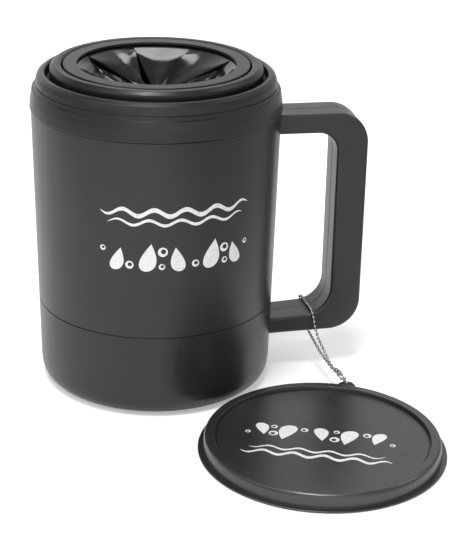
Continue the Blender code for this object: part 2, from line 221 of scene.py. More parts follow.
def gloss_rubber(name, colour, roughness):
    """Thin glossy silicone with faint ripples, smears and lint."""
    m = Material(name, Specular_IOR_Level=0.55)
    smear = m.noise(1.0, 4.0, 0.65, m.stretched((70.0, 70.0, 160.0)), 0.6)
    lint = m.ramp(m.noise(1500.0, 1.0, 0.5), at=(0.75, 0.80))
    base = m.mix(m.ramp(smear, at=(0.35, 0.7)), colour, tuple(c * 1.7 for c in colour))
    base = m.mix(m.maths("MULTIPLY", lint, 0.12), base, (0.35, 0.35, 0.34))
    rough = m.ramp(smear, roughness - 0.03, roughness + 0.07, (0.3, 0.75))
    ripple = m.bump(m.noise(95.0, 2.0, 0.5), 0.10, 0.0005)
    fine = m.bump(m.noise(900.0, 2.0, 0.5), 0.04, 0.00004, ripple)
    return m.finish(base, rough, fine)


def matt_rubber(name, colour):
    """Dull elastomer with a slightly chalky, pitted surface."""
    m = Material(name, Specular_IOR_Level=0.35)
    chalk = m.noise(220.0, 4.0, 0.65)
    base = m.mix(m.ramp(chalk, at=(0.35, 0.7)), colour, tuple(c * 2.1 for c in colour))
    rough = m.ramp(chalk, 0.62, 0.85)
    return m.finish(base, rough, m.bump(m.noise(1300.0, 3.0, 0.6), 0.25, 0.00008))


def ink(name):
    """White pad-printed ink, a little thin and uneven over the grain."""
    m = Material(name, Specular_IOR_Level=0.4)
    thin = m.noise(420.0, 4.0, 0.65)
    base = m.mix(m.ramp(thin, at=(0.28, 0.5)), (0.60, 0.60, 0.61), (0.80, 0.80, 0.80))
    rough = m.ramp(m.noise(300.0, 2.0, 0.5), 0.40, 0.60)
    return m.finish(base, rough, m.bump(m.noise(1700.0, 2.0, 0.6), 0.12, 0.00005))


def filament(name, colour):
    """Soft nylon, a little translucent, with paler and darker strands."""
    m = Material(name, Specular_IOR_Level=0.45, Subsurface_Weight=0.12, Subsurface_Scale=0.002)
    m.bsdf.inputs["Subsurface Radius"].default_value = (1.0, 0.9, 0.8)
    strand = m.noise(1.0, 2.0, 0.5, m.stretched((700.0, 700.0, 700.0)))
    base = m.mix(m.ramp(strand), tuple(c * 0.78 for c in colour),
                 tuple(min(1.0, c * 1.18) for c in colour))
    return m.finish(base, m.ramp(strand, 0.34, 0.52))


def plated(name):
    """Nickel-plated steel with fine drawing marks and a few dull spots."""
    m = Material(name, Metallic=1.0)
    spots = m.noise(520.0, 3.0, 0.6)
    base = m.mix(m.ramp(spots, at=(0.35, 0.75)), (0.50, 0.49, 0.46), (0.26, 0.25, 0.23))
    rough = m.ramp(spots, 0.16, 0.38, (0.3, 0.75))
    return m.finish(base, rough, m.bump(m.noise(2400.0, 2.0, 0.5), 0.06, 0.00003))


# The floor greys off over these distances in metres.  The edge on the handle's side slants by
# FADE_SLANT in X per metre of Y, and the one on the far side is straight.
FADE_HANDLE_SIDE = (0.20, 0.45)
FADE_SLANT = 0.36
FADE_FAR_SIDE = (-0.80, -0.50)
FLOOR_GLOW = (0.33, 0.15)  # its own light where it is pale and where it is grey


def studio_floor():
    """Lit pale acrylic that greys off well to both sides of the cup."""
    m = Material("studio_floor", Specular_IOR_Level=0.2)
    paper = m.noise(3.0, 3.0, 0.5)
    base = m.mix(m.ramp(paper), (0.86, 0.86, 0.86), (0.88, 0.88, 0.88))
    split = m.add("ShaderNodeSeparateXYZ")
    m.link(m.place, split.inputs["Vector"])
    slant = m.maths("MULTIPLY", split.outputs["Y"], FADE_SLANT)
    aside = m.maths("SUBTRACT", split.outputs["X"], slant)
    fade = m.maths("MAXIMUM", m.ramp(aside, at=FADE_HANDLE_SIDE),
                   m.ramp(split.outputs["X"], 1.0, 0.0, FADE_FAR_SIDE))
    base = m.mix(fade, base, (0.40, 0.40, 0.41))
    m.link(m.ramp(fade, *FLOOR_GLOW, at=(0.0, 1.0)), m.bsdf.inputs["Emission Strength"])
    m.bsdf.inputs["Emission Color"].default_value = (1.0, 1.0, 1.0, 1.0)
    return m.finish(base, m.ramp(paper, 0.7, 0.8))


# ---------------- mesh helpers

ARC_STEP = math.radians(18)    # the most that one side of a fillet turns
NEARLY_STRAIGHT = math.radians(88.5)    # half the angle at a corner too flat to round
SHELL_STEPS = 256          # sides round the large turned shells


def filleted(outline, closed):
    """Round the corners of (r, z) or (r, z, radius) points with arcs.

    An arc takes up just under half of the shorter side beside it."""
    points = [Vector(p[:2]) for p in outline]
    radii = [p[2] if len(p) > 2 else 0.0 for p in outline]
    out = []
    for i, (p, radius) in enumerate(zip(points, radii)):
        ends = not closed and i in (0, len(points) - 1)
        if radius <= 0 or ends:
            out.append(p)
            continue
        to_last, to_next = points[i - 1] - p, points[(i + 1) % len(points)] - p
        room = 0.48 * min(to_last.length, to_next.length)
        a, b = to_last.normalized(), to_next.normalized()
        half = a.angle(b) / 2
        if half > NEARLY_STRAIGHT:
            out.append(p)
            continue
        cut = min(radius / math.tan(half), room)
        radius = cut * math.tan(half)
        middle = p + (a + b).normalized() * (radius / math.sin(half))
        start, stop = p + a * cut - middle, p + b * cut - middle
        sweep = start.angle_signed(stop)
        steps = max(2, math.ceil(abs(sweep) / ARC_STEP))
        for k in range(steps + 1):
            out.append(middle + Matrix.Rotation(-sweep * k / steps, 2) @ start)
    return out


def mesh_object(name, bm, mat, smooth=True, angle=38.0):
    """Turn a bmesh in millimetres into an object, smooth up to an angle in degrees."""
    bmesh.ops.scale(bm, vec=(MM,) * 3, verts=bm.verts)
    bmesh.ops.recalc_face_normals(bm, faces=bm.faces)
    mesh = bpy.data.meshes.new(name)
    bm.to_mesh(mesh)
    bm.free()
    mesh.materials.append(mat)
    if smooth:
        mesh.shade_smooth()
        mesh.set_sharp_from_angle(angle=math.radians(angle))
    return add_object(name, mesh)


def spun(outline, steps, closed=True):
    """A bmesh turned about Z.  An open outline starts and ends on the axis."""
    bm = bmesh.new()
    points = filleted(outline, closed)
    rings = []
    for p in points:
        if p.x < 1e-6:
            rings.append([bm.verts.new((0, 0, p.y))])
        else:
            rings.append([bm.verts.new((*polar(p.x, 2 * math.pi * k / steps), p.y))
                          for k in range(steps)])
    pairs = list(zip(rings, rings[1:])) + ([(rings[-1], rings[0])] if closed else [])
    for a, b in pairs:
        for k in range(steps):
            n = (k + 1) % steps
            around = a[k % len(a)], a[n % len(a)], b[n % len(b)], b[k % len(b)]
            corners = list(dict.fromkeys(around))
            if len(corners) > 2:
                bm.faces.new(corners)
    return bm


def add_faces(bm, verts, faces):
    """Add plain verts and faces to a bmesh."""
    made = [bm.verts.new(v) for v in verts]
    for f in faces:
        bm.faces.new([made[i] for i in f])


def bridge(bm, rings):
    """Faces between each closed ring of vertices and the next."""
    for a, b in zip(rings, rings[1:]):
        for k in range(len(a)):
            n = (k + 1) % len(a)
            bm.faces.new((a[k], a[n], b[n], b[k]))


def even_normals(ob):
    """Keep broad faces flat-looking beside small fillets."""
    mod = ob.modifiers.new("even_normals", "WEIGHTED_NORMAL")
    mod.keep_sharp = True
    mod.weight = 80


def stand_for(ob, body, slot, *nodes):
    """Let a piece ride a body and stand for its nodes; the material slot is not used."""
    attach(ob, body)
    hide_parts(*nodes)
    return ob


def turned(name, outline, mat, steps=SHELL_STEPS, closed=True, centre=(0, 0)):
    """A round piece made from half of its section, with its axis at a centre."""
    bm = spun(outline, steps, closed)
    bmesh.ops.translate(bm, vec=(*centre, 0), verts=bm.verts)
    ob = mesh_object(name, bm, mat)
    even_normals(ob)
    return ob


def grid_body(top, low):
    """A closed body between two matching grids of points."""
    bm = bmesh.new()
    up = [[bm.verts.new(p) for p in row] for row in top]
    down = [[bm.verts.new(p) for p in row] for row in low]
    n, m = len(up), len(up[0])
    for i in range(n - 1):
        for j in range(m - 1):
            bm.faces.new((up[i][j], up[i][j + 1], up[i + 1][j + 1], up[i + 1][j]))
            bm.faces.new((down[i][j], down[i + 1][j], down[i + 1][j + 1], down[i][j + 1]))
    rim = ([(0, j) for j in range(m)] + [(i, m - 1) for i in range(1, n)]
           + [(n - 1, j) for j in range(m - 2, -1, -1)] + [(i, 0) for i in range(n - 2, 0, -1)])
    for (i, j), (k, l) in zip(rim, rim[1:] + rim[:1]):
        bm.faces.new((up[i][j], down[i][j], down[k][l], up[k][l]))
    return bm


# ---------------- chain

BEAD_R = 1.1
BEAD_PITCH = 3.4
WIRE_R = 0.32
EAR_DIR = 64.8             # direction of the lid's ear from the lid's centre, degrees
EAR_R = (72.0, 85.0)
EAR_Z = (2.3, 5.3)         # height of the ear's middle at its two ends
EAR_W, EAR_T = 11.6, 2.4
EAR_HOLE_R = 81.0          # the hole's distance from the lid's centre
EAR_HOLE = 2.6             # the hole's radius
HANDLE_W = span("handle_rear")[1].y - span("handle_front")[0].y
LID_LOW = span("lid")[0]
LID_R = 77.1
LID_X, LID_Y = LID_LOW.x + LID_R, LID_LOW.y + LID_R
CHAIN_STILL = (104, -18, 24)     # up to here the chain stays with the handle
CHAIN_LIFTED = (115, -52, 11)    # and from here on it goes with the lid
CLASP_R = 1.7


def ear_point(r, across, lift):
    """A point of the lid's ear in the lid's frame: along, across and square to the plate."""
    slope = math.atan2(EAR_Z[1] - EAR_Z[0], EAR_R[1] - EAR_R[0])
    along = Vector((math.cos(slope), 0, math.sin(slope)))
    up = Vector((-math.sin(slope), 0, math.cos(slope)))
    p = Vector((EAR_R[0], 0, EAR_Z[0])) + along * (r - EAR_R[0]) + up * lift
    return Matrix.Rotation(math.radians(EAR_DIR), 3, "Z") @ (p + Vector((0, across, 0)))


def chain_route():
    """From one end of the clasp over the handle's lower arm, back, and through the ear."""
    under, hole, above = (ear_point(EAR_HOLE_R, 0, lift) + Vector((LID_X, LID_Y, 0))
                          for lift in (-1.6, 0.0, 2.0))
    top, low, front, off = 39.1, 25.9, HANDLE_W / 2, 1.6
    return [
        (112.6, -50.0, 13.8), (110.6, -43.0, 16.3), (109.3, -31.0, 20.2), (108.3, -20.5, 23.6),
        (107.6, -front - off, low + 1.5), (106.4, -front - off, 31.5),
        (105.2, -front - off * 0.8, top - 1.0), (104.6, -front + 3.0, top + off),
        (104.0, 0.0, top + off), (103.4, front - 3.0, top + off),
        (103.0, front + off * 0.8, top - 1.0), (103.2, front + off, 31.0),
        (103.8, front + off * 0.8, low - 0.6), (104.8, front - 3.5, low - off - 0.6),
        (106.6, -2.0, 19.2), (107.5, -15.0, 17.6), (108.4, -28.0, 16.0), (111.2, -43.0, 13.2),
        (114.6, -48.6, 9.9), (hole.x - 0.8, hole.y + 7.7, hole.z + 1.2),
        (hole.x + 2.0, hole.y + 6.1, hole.z - 1.5), (hole.x + 1.8, hole.y + 3.1, hole.z - 2.8),
        (under.x, under.y, under.z), (above.x, above.y, above.z), (118.0, -57.8, 9.9),
        (116.2, -55.6, 12.2),
    ]


def smooth_curve(route, spacing):
    """Even points along a Catmull-Rom curve through the route, and its length."""
    between = 24           # fine points from one point of the route to the next
    pts = [Vector(p) for p in route]
    pts = [2 * pts[0] - pts[1]] + pts + [2 * pts[-1] - pts[-2]]
    fine = []
    for p0, p1, p2, p3 in zip(pts, pts[1:], pts[2:], pts[3:]):
        for k in range(between):
            t = k / between
            fine.append(0.5 * (2 * p1 + (p2 - p0) * t + (2 * p0 - 5 * p1 + 4 * p2 - p3) * t * t
                               + (3 * p1 - p0 - 3 * p2 + p3) * t ** 3))
    fine.append(pts[-2])
    total = sum((b - a).length for a, b in zip(fine, fine[1:]))
    count = round(total / spacing)
    even, step, run = [fine[0]], total / count, 0.0
    for a, b in zip(fine, fine[1:]):
        seg = (b - a).length
        while run + seg >= step * len(even) - 1e-9 and len(even) < count:
            even.append(a.lerp(b, (step * len(even) - run) / seg))
        run += seg
    return even + [fine[-1]], total


def ring_of(centre, turn, radius, along, sides):
    """A ring of points square to the turned Z axis, some way along it."""
    return [centre + turn @ Vector((*polar(radius, 2 * math.pi * k / sides), along))
            for k in range(sides)]


def strung_beads(points, bead_r, wire_r, sides=16, rows=10):
    """Verts and faces of beads on a wire, and the number of the bead each vertex goes with."""
    verts, faces, owner = [], [], []
    tucked = 0.7 * bead_r  # each length of wire ends inside its two beads

    def skin(rings, owners):
        base = len(verts)
        for ring, own in zip(rings, owners):
            verts.extend(ring)
            owner.extend([own] * len(ring))
        for i in range(len(rings) - 1):
            for k in range(sides):
                n = (k + 1) % sides
                a, b = base + i * sides, base + (i + 1) * sides
                faces.append((a + k, a + n, b + n, b + k))
        faces.append(tuple(base + k for k in reversed(range(sides))))
        faces.append(tuple(base + (len(rings) - 1) * sides + k for k in range(sides)))

    for i, p in enumerate(points):
        ahead = points[min(i + 1, len(points) - 1)] - points[max(i - 1, 0)]
        turn = ahead.to_track_quat("Z", "Y").to_matrix()
        rings = []
        for j in range(1, rows):
            a = math.pi * j / rows
            rings.append(ring_of(p, turn, bead_r * math.sin(a), -bead_r * math.cos(a), sides))
        skin(rings, [i] * len(rings))
    for i, (p, q) in enumerate(zip(points, points[1:])):
        turn = (q - p).to_track_quat("Z", "Y").to_matrix()
        reach = (q - p).length
        skin([ring_of(p, turn, wire_r, tucked, sides),
              ring_of(p, turn, wire_r, reach - tucked, sides)], [i, i + 1])
    return verts, faces, owner


def make_chain(metal):
    """The beads ride with the handle at one end and the lid at the other, each staying round."""
    points, total = smooth_curve(chain_route(), BEAD_PITCH)
    verts, faces, owner = strung_beads(points, BEAD_R, WIRE_R)
    mesh = bpy.data.meshes.new("chain_beads")
    mesh.from_pydata([v * MM for v in verts], [], faces)
    mesh.materials.append(metal)
    mesh.shade_smooth()
    chain = add_object("chain_beads", mesh)
    start, end = Vector(CHAIN_STILL) * MM, Vector(CHAIN_LIFTED) * MM
    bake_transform(chain, "mug", "lid", start=start, end=end)
    weights = mesh.attributes["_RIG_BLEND"].data
    along = end - start
    share = [min(1.0, max(0.0, (p * MM - start).dot(along) / along.length_squared))
             for p in points]
    for item, own in zip(weights, owner):
        item.value = share[own] ** 2 * (3 - 2 * share[own])
    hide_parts("ball_chain")
    clasp = make_clasp(points[0], points[-1], metal)


def make_clasp(start, end, metal):
    """The stamped coupling that grips the chain's two end beads."""
    axis = end - start
    half, r = axis.length / 2 - 0.5, CLASP_R
    outline = [(0.0, -half), (0.95, -half, 0.2), (1.35, -half + 0.5, 0.3), (r, -half + 1.0, 0.4),
               (r, -0.8, 0.2), (r - 0.35, -0.5, 0.1), (r - 0.35, 0.5, 0.1), (r, 0.8, 0.2),
               (r, half - 1.0, 0.4), (1.35, half - 0.5, 0.3), (0.95, half, 0.2), (0.0, half)]
    bm = spun(outline, 32, closed=False)
    bmesh.ops.rotate(bm, matrix=axis.to_track_quat("Z", "Y").to_matrix(), verts=bm.verts)
    bmesh.ops.translate(bm, vec=(start + end) / 2, verts=bm.verts)
    return stand_for(mesh_object("chain_coupling", bm, metal), "lid", "chain_metal", "chain_clasp")


# ---------------- shells

SEAM_Z = 56.2              # height of the seam between the wall and the boot
DRAFT = 0.0202             # outward slope of the wall, radius per height
SEAM_R = 77.4
SEAM_GAP = 0.3
BOOT_T = 2.1
BEND_Z = 14.0              # where the straight wall turns in towards the base


def wall_r(z):
    """The outer wall's radius at a height."""
    return SEAM_R + DRAFT * (z - SEAM_Z)


def make_wall(mat):
    """The cup itself: floor, tapered wall and the thinner rim inside the collar."""
    top = span("collar_ring")[0].z - SEAM_GAP
    low, rim = (corner.z for corner in span("mug_body"))
    inset = BOOT_T + SEAM_GAP
    wall = turned("mug_wall", [
        (0, low), (68.0, low, 2), (70.2, low + 0.8, 2), (72.0, low + 2.8, 2), (73.0, low + 5.4, 3),
        (wall_r(BEND_Z) - inset, BEND_Z, 4), (wall_r(SEAM_Z) - inset, SEAM_Z),
        (wall_r(SEAM_Z), SEAM_Z, 0.45), (wall_r(top), top, 0.3), (76.6, top), (76.6, rim, 0.4),
        (75.0, rim, 0.4), (74.6, 60.0, 20), (72.2, 54.0, 20), (71.4, 12.0, 3), (71.0, 8.4, 1),
        (70.0, 7.4, 0.8), (0, 7.4),
    ], mat, closed=False)
    return stand_for(wall, "mug", "mug_plastic", "mug_body")


def make_boot(mat):
    """The outer shell of the cup's lower end."""
    pad_r = span("base_pad")[1].x
    pad_room = 2.7         # height of the recess that holds the pad
    top = SEAM_Z - SEAM_GAP
    low = span("base_boot")[0].z
    boot = turned("boot_shell", [
        (0, pad_room), (pad_r + 0.3, pad_room), (pad_r + 0.3, low, 0.3), (69.6, low, 1.5),
        (72.0, low + 0.7, 2.5), (73.9, low + 2.5, 3), (75.3, low + 4.9, 4), (76.1, low + 7.9, 6),
        (wall_r(BEND_Z), BEND_Z, 8), (wall_r(top), top, 0.45), (wall_r(top) - BOOT_T, top),
        (wall_r(BEND_Z) - BOOT_T, BEND_Z, 4), (73.3, 9.8, 3), (72.2, 7.2, 2), (70.4, 5.2, 2),
        (68.2, 4.5, 2), (0, 4.5),
    ], mat, closed=False)
    return stand_for(boot, "mug", "boot_plastic", "base_boot")


def make_pad(mat):
    """The foot pad, with round grooves in its underside."""
    high = span("base_pad")[1]
    r, t = high.x, high.z
    outline = [(0, 0)]
    for groove in (18.0, 30.0, 42.0, 54.0):
        outline += [(groove - 1.2, 0, 0.2), (groove - 0.8, 0.8, 0.2), (groove + 0.8, 0.8, 0.2),
                    (groove + 1.2, 0, 0.2)]
    outline += [(r, 0, 0.8), (r, t, 0.2), (0, t)]
    pad = turned("base_foot", outline, mat, steps=128, closed=False)
    return stand_for(pad, "mug", "pad_rubber", "base_pad")


def make_collar(mat):
    """The collar: a skirt, a ledge, a thin groove and a rounded crest round the mouth ring."""
    z, top = (corner.z for corner in span("collar_ring"))
    collar = turned("collar_shell", [
        (76.9, z), (80.3, z, 0.2), (80.8, z + 0.6, 0.5), (80.2, z + 6.5, 9.0),
        (79.1, z + 12.7, 0.3), (77.8, z + 13.1, 0.5), (77.5, z + 15.3, 0.2), (76.7, z + 15.4, 0.1),
        (76.7, z + 15.9, 0.1), (76.9, z + 16.1, 0.2), (76.4, z + 18.9, 2.5),
        (75.5, z + 21.3, 0.8), (73.4, top - 0.2, 0.6), (71.4, top, 0.4), (70.6, top - 0.8, 0.3),
        (70.6, 196.5), (76.9, 196.5),
    ], mat)
    return stand_for(collar, "mug", "collar_plastic", "collar_ring")


# ---------------- mouth

HINGE_R = 50.0
HINGE_Z = 207.6
FIRST_SLIT = 10            # direction of the slit before petal 1, degrees
SLIT_STEP = 45             # from one slit to the next, degrees
BEND_R = (50.5, 34.0)      # where a petal starts to bend with its body and follows it fully
RUBBER_Z = span("diaphragm_rim")[1].z
TIP_R = 5.0
PETAL_T = 1.3
SLIT = 0.15                # half of a slit's width at its outer end
ROOT_Z = RUBBER_Z + 2.2    # top of the rubber where the petals begin
# Each petal: its slope by the rim, how far its edges lift (at the slit of the lower angle, then
# the higher one) and how far from the root they lift most, how wide the slits gape at the tip on
# those sides, and how deep its root is wrinkled.
PETAL_SHAPES = {
    1: (0.34, (0.0, 3.6), 24.0, (0.6, 0.4), 0.0),
    2: (0.25, (-0.6, -0.6), 14.0, (0.5, 0.4), 0.0),
    3: (0.27, (3.0, 0.0), 16.0, (6.5, 0.8), 0.0),
    4: (0.62, (-0.6, 0.4), 14.0, (9.0, 0.5), 0.3),
    5: (0.52, (0.4, 0.4), 14.0, (0.5, 0.6), 0.15),
    6: (0.46, (0.4, 0.4), 14.0, (0.6, 0.5), 0.15),
    7: (0.52, (0.4, 0.4), 14.0, (0.5, 0.7), 0.15),
    8: (0.62, (0.4, -0.6), 14.0, (0.6, 2.0), 0.3),
}


def petal_z(d, gentle, s):
    """Height of a petal d inwards from its root: gentle by the rim, then steep.

    s is 0 along its middle and 1 at its slits, where it turns down sooner."""
    reach, tip_drop, flat, bend = HINGE_R - TIP_R, 17.5, 13.0, 8.0
    begin = flat - 9.0 * abs(s) ** 3
    steep = gentle + (tip_drop - gentle * reach) / (reach - flat - bend / 2)
    t = min(1.0, max(0.0, (d - begin) / bend))
    turned_down = bend * (t ** 3 - t ** 4 / 2) + max(0.0, d - begin - bend)
    return ROOT_Z - gentle * d - (steep - gentle) * turned_down


def petal_middle(k):
    return math.radians(FIRST_SLIT + (k - 0.5) * SLIT_STEP)


def petal_point(k, r, s):
    """A point of a petal's upper face; s runs from -1 to 1 between its two slits."""
    gentle, (lift_low, lift_high), lift_d, (gape_low, gape_high), wrinkle = PETAL_SHAPES[k]
    d = max(0.0, HINGE_R - r)
    u = d / (HINGE_R - TIP_R)
    lift, gape = (lift_low, gape_low) if s < 0 else (lift_high, gape_high)
    half = math.radians(SLIT_STEP / 2)
    shrink = (SLIT + gape * u) / max(r, 1.0)
    a = petal_middle(k) + s * (half - min(shrink, 0.8 * half))
    z = petal_z(d, gentle, s)
    z += lift * abs(s) ** 2.1 * (d / lift_d * math.exp(1 - d / lift_d)) ** 2
    z += wrinkle * math.sin(0.9 * d + 2.2 * s + k) * math.exp(-((d - 9.0) / 7.0) ** 2)
    return *polar(r, a), z


def petal_grid(k, drop):
    """Rows of points from a petal's root to its tip, some way below its upper face."""
    rows, across, outer = 48, 32, 53.0
    grid = []
    for i in range(rows + 1):
        r = outer + (TIP_R - outer) * i / rows
        points = (petal_point(k, r, 2 * j / across - 1) for j in range(across + 1))
        grid.append([(x, y, z - drop) for x, y, z in points])
    return grid


def make_petal(k, mat):
    bm = grid_body(petal_grid(k, 0.0), petal_grid(k, PETAL_T))
    petal = mesh_object(f"rubber_petal_{k}", bm, mat, angle=50)
    outward = Vector((*polar(1, petal_middle(k)), 0))
    start, end = (outward * r * MM + Vector((0, 0, HINGE_Z * MM)) for r in BEND_R)
    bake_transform(petal, "splash_assembly", f"petal_{k}", start=start, end=end)
    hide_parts(f"petal_{k}")


def make_mouth(ring_mat, bezel_mat, rubber, seal_mat):
    """The mouth ring with its bezel and gasket, and the slitted rubber between them."""
    top = span("splash_ring")[1].z
    ring = turned("splash_flange", [
        (67.7, top - 3.0, 0.6), (67.4, top - 2.1, 0.8), (65.5, top - 0.2, 1.0), (64.7, top, 0.8),
        (62.0, top, 0.9), (60.5, top - 0.7, 0.6), (60.0, top - 1.9, 0.4), (60.0, 206.2),
        (52.6, 206.2), (52.6, 203.6), (63.8, 203.6, 0.8), (64.4, 193.0, 0.5),
        (67.0, 193.0, 0.6), (67.2, 204.6, 0.6), (67.7, 206.2, 0.5),
    ], ring_mat)
    stand_for(ring, "splash_assembly", "ring_plastic", "splash_ring")
    bezel = turned("bezel_ring", [
        (59.3, 208.7), (59.3, top - 0.6, 0.3), (58.9, top, 0.3), (50.5, top, 0.35),
        (50.3, top - 1.5, 0.3), (50.9, top - 2.0, 0.2), (54.2, top - 2.0), (54.2, 208.7),
    ], bezel_mat)
    stand_for(bezel, "splash_assembly", "bezel_plastic", "clamp_bezel")
    rim = turned("rubber_rim", [
        (53.3, 206.5, 0.3), (59.4, 206.5), (59.4, RUBBER_Z), (53.9, RUBBER_Z), (53.9, ROOT_Z, 0.2),
        (53.3, ROOT_Z, 0.2),
    ], rubber, steps=192)
    stand_for(rim, "splash_assembly", "petal_rubber", "diaphragm_rim")
    seal = turned("ring_gasket", [
        (67.5, 198.8, 0.3), (69.6, 198.8, 0.4), (70.3, 199.8, 0.5), (69.4, 201.1, 0.5),
        (70.3, 202.4, 0.5), (69.6, 203.4, 0.4), (67.5, 203.4, 0.3),
    ], seal_mat, steps=160)
    stand_for(seal, "splash_assembly", "seal_rubber", "ring_seal")
    for k in PETAL_SHAPES:
        make_petal(k, rubber)


# ---------------- brushes

PANELS = 6
LINER_IN = 65.0
FILAMENTS = 6              # in each tuft: one in the middle and the rest round it
FILAMENT_SIDES = 5
FILAMENT_TAPER = ((0.0, 0.42), (0.5, 0.36), (0.92, 0.24), (1.0, 0.08))    # share along, radius
TIP_SCATTER = 0.4


def tuft(verts, faces, root, direction, length, spread, rng):
    """A bundle of tapered filaments that fan out from one root."""
    side = direction.orthogonal().normalized()
    other = direction.cross(side)
    sides, last = FILAMENT_SIDES, len(FILAMENT_TAPER) - 1
    for n in range(FILAMENTS):
        turn = 2 * math.pi * n / (FILAMENTS - 1)
        away = 0.0 if n == FILAMENTS - 1 else 1.0
        offset = (side * math.cos(turn) + other * math.sin(turn)) * away
        start = root + offset * 0.9
        lean = (offset * spread * rng.uniform(0.6, 1.1)
                + side * rng.uniform(-TIP_SCATTER, TIP_SCATTER))
        reach = length * rng.uniform(0.93, 1.0)
        base = len(verts)
        for t, r in FILAMENT_TAPER:
            middle = start + direction * reach * t + lean * t * t
            verts.extend(middle + side * r * math.cos(2 * math.pi * q / sides)
                         + other * r * math.sin(2 * math.pi * q / sides) for q in range(sides))
        for i in range(last):
            for q in range(sides):
                a, b = base + sides * i + q, base + sides * i + (q + 1) % sides
                faces.append((a, b, b + sides, a + sides))
        faces.append(tuple(base + sides * last + q for q in range(sides)))
        faces.append(tuple(base + q for q in reversed(range(sides))))


def make_panels(mat):
    """Six curved backings with rows of tufts that point to the cup's axis."""
    low, high = span("brush_panel_1")
    back, face, inner = LINER_IN - 0.3, LINER_IN - 2.4, 42.4
    half = math.radians(180 / PANELS) - 0.03
    rng = random.Random(7)
    outer, inside = ([[(*polar(r, half * (j / 8 - 1)), z) for j in range(17)]
                      for z in (low.z, high.z)] for r in (back, face))
    bm = grid_body(outer, inside)
    verts, faces = [], []
    rows, cols = 17, 7
    for i in range(rows):
        z = low.z + 4.5 + (high.z - low.z - 9.0) * i / (rows - 1)
        for j in range(cols - i % 2):
            a = half * 0.88 * (2 * (j + 0.5 * (i % 2)) / (cols - 1) - 1)
            out = Vector((*polar(1, a), 0))
            root = out * (face + 0.2) + Vector((0, 0, z))
            tuft(verts, faces, root, -out, face - inner, 1.5, rng)
    add_faces(bm, verts, faces)
    first = mesh_object("bristle_panel_1", bm, mat, angle=60)
    for k in range(PANELS):
        ob = add_object(f"bristle_panel_{k + 1}", first.data) if k else first
        ob.rotation_euler = (0, 0, math.radians(k * 360 / PANELS))
        stand_for(ob, "brush_insert", "bristle", f"brush_panel_{k + 1}")


def make_liner(mat):
    """The sleeve that holds the panels, with low ribs round its outside."""
    low, high = span("brush_liner")
    r_out, z0, z1 = high.x, low.z, high.z
    skin = r_out - 0.6     # the sleeve's own radius between its ribs
    ribs, from_end = 6, 8
    outline = [(LINER_IN, z0, 0.5), (skin, z0, 0.5)]
    for n in range(ribs):
        z = z0 + from_end + (z1 - z0 - 2 * from_end) * n / (ribs - 1)
        outline += [(skin, z - 1.8, 0.4), (r_out, z - 1.2, 0.4), (r_out, z + 1.2, 0.4),
                    (skin, z + 1.8, 0.4)]
    outline += [(skin, z1, 0.6), (LINER_IN, z1, 0.6)]
    liner = turned("liner_sleeve", outline, mat, steps=160)
    return stand_for(liner, "brush_insert", "liner_plastic", "brush_liner")


def make_floor_brush(mat):
    """A square, round-cornered backing with upright tufts on the cup's floor."""
    low, high = span("floor_brush")
    base = low.z + 2.1     # top of the backing
    field = 23.5           # the tufts' field, half of its width
    bm = bmesh.new()
    bmesh.ops.create_cube(bm, size=1.0)
    bmesh.ops.scale(bm, vec=(high.x - low.x, high.y - low.y, base - low.z), verts=bm.verts)
    bmesh.ops.translate(bm, vec=(0, 0, (base + low.z) / 2), verts=bm.verts)
    upright = [e for e in bm.edges if abs(e.verts[0].co.z - e.verts[1].co.z) > 1]
    bmesh.ops.bevel(bm, geom=upright, offset=6.0, segments=6, profile=0.5, affect="EDGES")
    rng = random.Random(11)
    verts, faces = [], []
    cells = 8
    for i in range(cells):
        for j in range(cells):
            x, y = ((v + 0.5) / cells * 2 - 1 for v in (i, j))
            root = Vector((x * field, y * field, base - 0.2))
            tuft(verts, faces, root, Vector((0, 0, 1)), high.z - base, 1.1, rng)
    add_faces(bm, verts, faces)
    brush = mesh_object("floor_bristles", bm, mat, angle=60)
    return stand_for(brush, "mug", "bristle", "floor_brush")


# ---------------- handle

ARM_TOP = (166.2, 179.4)   # the upper arm's lower and upper side
ARM_LOW = (25.1, 36.6)     # the same of the lower arm, at the wall
ARM_LOW_RISE = 0.0331      # the lower arm's slope
HANDLE_OUT, HANDLE_IN = span("handle_front")[1].x, 117.3
HANDLE_ROOT = 75.4
GRIP_EDGE = 2.3            # radius of the grip's long edges
GRIP_GROOVE = 0.5          # depth of the parting line's chamfer


def arc(cx, cz, radius, start, stop, steps):
    """Points on an arc from one angle to another, both ends included."""
    turns = (math.radians(start + (stop - start) * i / steps) for i in range(steps + 1))
    return [(cx + u, cz + v) for u, v in (polar(radius, turn) for turn in turns)]


def line(p, q, steps):
    """Even points from p up to but not including q."""
    return [(p[0] + (q[0] - p[0]) * i / steps, p[1] + (q[1] - p[1]) * i / steps)
            for i in range(steps)]


def loop_edge(x, top, top_r, foot, foot_r):
    """One edge of the D, from the upper arm's root round to the lower arm's.

    x places its upright; top and foot are the arms' heights, at the wall for the lower."""
    low = foot + ARM_LOW_RISE * (HANDLE_IN - SEAM_R)
    steps, runs = 20, 8
    return (line((HANDLE_ROOT, top), (x - top_r, top), runs)
            + arc(x - top_r, top - top_r, top_r, 90, 0, steps)
            + line((x, top - top_r), (x, low + foot_r), runs)[1:]
            + arc(x - foot_r, low + foot_r, foot_r, 0, -90, steps)
            + line((x - foot_r, low), (HANDLE_ROOT, foot), runs)[1:]
            + [(HANDLE_ROOT, foot)])


